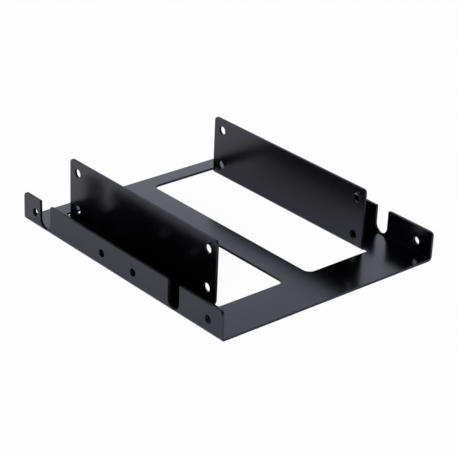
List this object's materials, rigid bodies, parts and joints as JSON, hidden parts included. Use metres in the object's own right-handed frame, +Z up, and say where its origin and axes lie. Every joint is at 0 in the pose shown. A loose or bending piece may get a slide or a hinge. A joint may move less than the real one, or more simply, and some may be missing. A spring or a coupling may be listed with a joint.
{
  "type": "drive bay adapter bracket",
  "caption": "Folded sheet-metal bracket for a large drive bay, with tall inner walls that hold small drives one above the other.",
  "frame": {"origin": "middle of the underside of the base", "axes": "+X across the bay, +Y along the bay from the wide border of the base to the narrow one, +Z up along the walls"},
  "size_m": [0.1016, 0.1162, 0.0248],
  "materials": {
    "powder_coat": "satin black powder coat"
  },
  "bodies": {
    "root": {"bracket": "powder_coat"}
  },
  "joints": []
}
